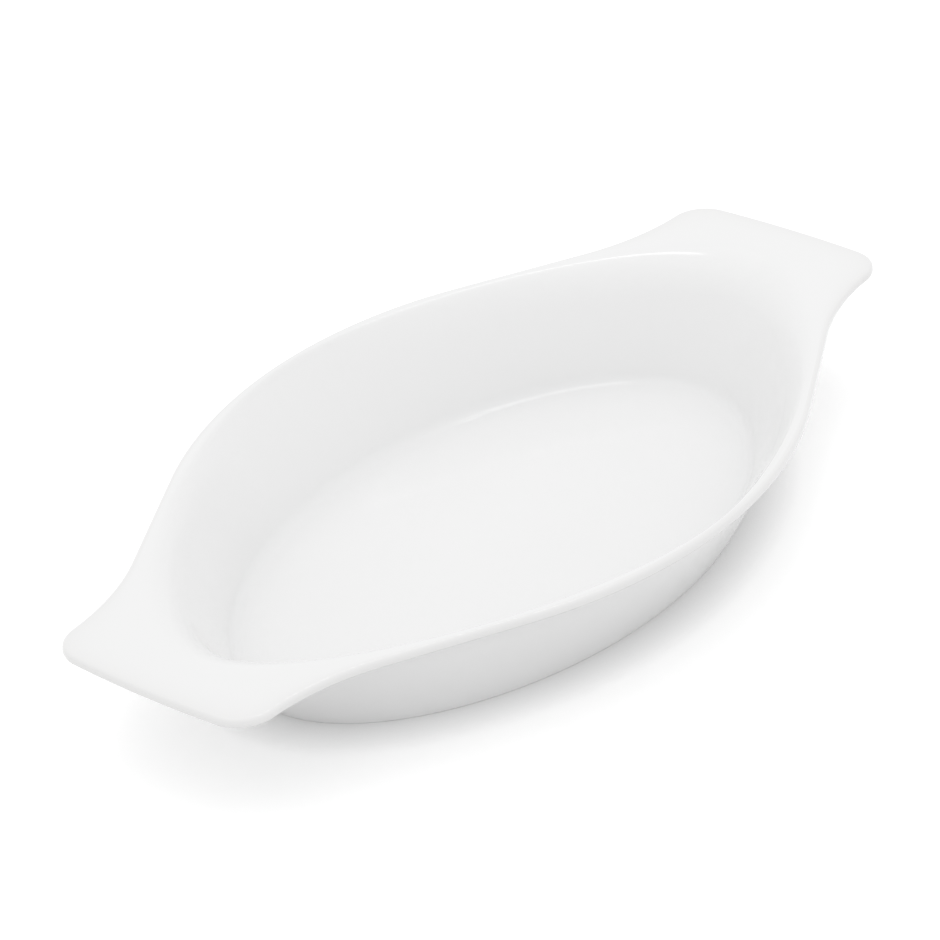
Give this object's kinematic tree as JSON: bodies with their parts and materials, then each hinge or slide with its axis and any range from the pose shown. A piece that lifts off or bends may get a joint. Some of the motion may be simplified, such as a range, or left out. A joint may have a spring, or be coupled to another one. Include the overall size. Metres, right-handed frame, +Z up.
{
  "type": "gratin dish",
  "caption": "Shallow oval baking dish with sloping walls, a flat ear at each end that flows out of the bowl, and a recessed base with a foot ring.",
  "frame": {"origin": "centre of the foot, on the plane that the dish rests on", "axes": "+X along the length through the ears, +Y across the bowl, +Z up"},
  "size_m": [0.32, 0.177, 0.04],
  "materials": {
    "white_glaze": "smooth glossy white glaze, with an unglazed foot ring"
  },
  "bodies": {
    "root": {"dish": "white_glaze"}
  },
  "joints": []
}
